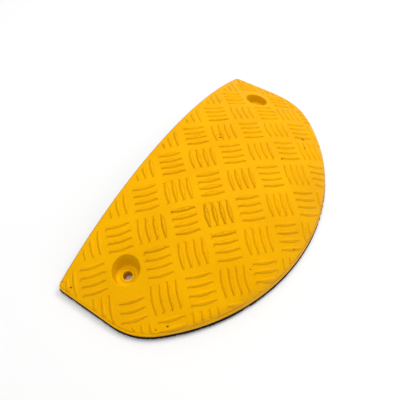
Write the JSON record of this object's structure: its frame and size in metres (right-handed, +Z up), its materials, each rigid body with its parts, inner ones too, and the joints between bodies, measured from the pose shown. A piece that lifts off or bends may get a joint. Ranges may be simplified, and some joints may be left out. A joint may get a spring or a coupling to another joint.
{
  "type": "speed ramp end section",
  "caption": "Rounded end section of a rubber speed ramp, with a black base, a yellow chequer-tread skin and counterbored fixing holes.",
  "frame": {"origin": "on the road face, at the foot of the joint face and midway along it", "axes": "+X from the joint face towards the rounded tip, +Y along the joint face, +Z up from the road"},
  "size_m": [0.222, 0.43, 0.0588],
  "materials": {
    "base_rubber": "matt recycled rubber, slightly ragged at the mould line",
    "skin_rubber": "satin coloured rubber with small nicks and scuffs",
    "washer_steel": "dull zinc plate"
  },
  "bodies": {
    "root": {"rubber_base": "base_rubber", "wear_skin": "skin_rubber", "washer_left": "washer_steel", "washer_right": "washer_steel"}
  },
  "joints": []
}
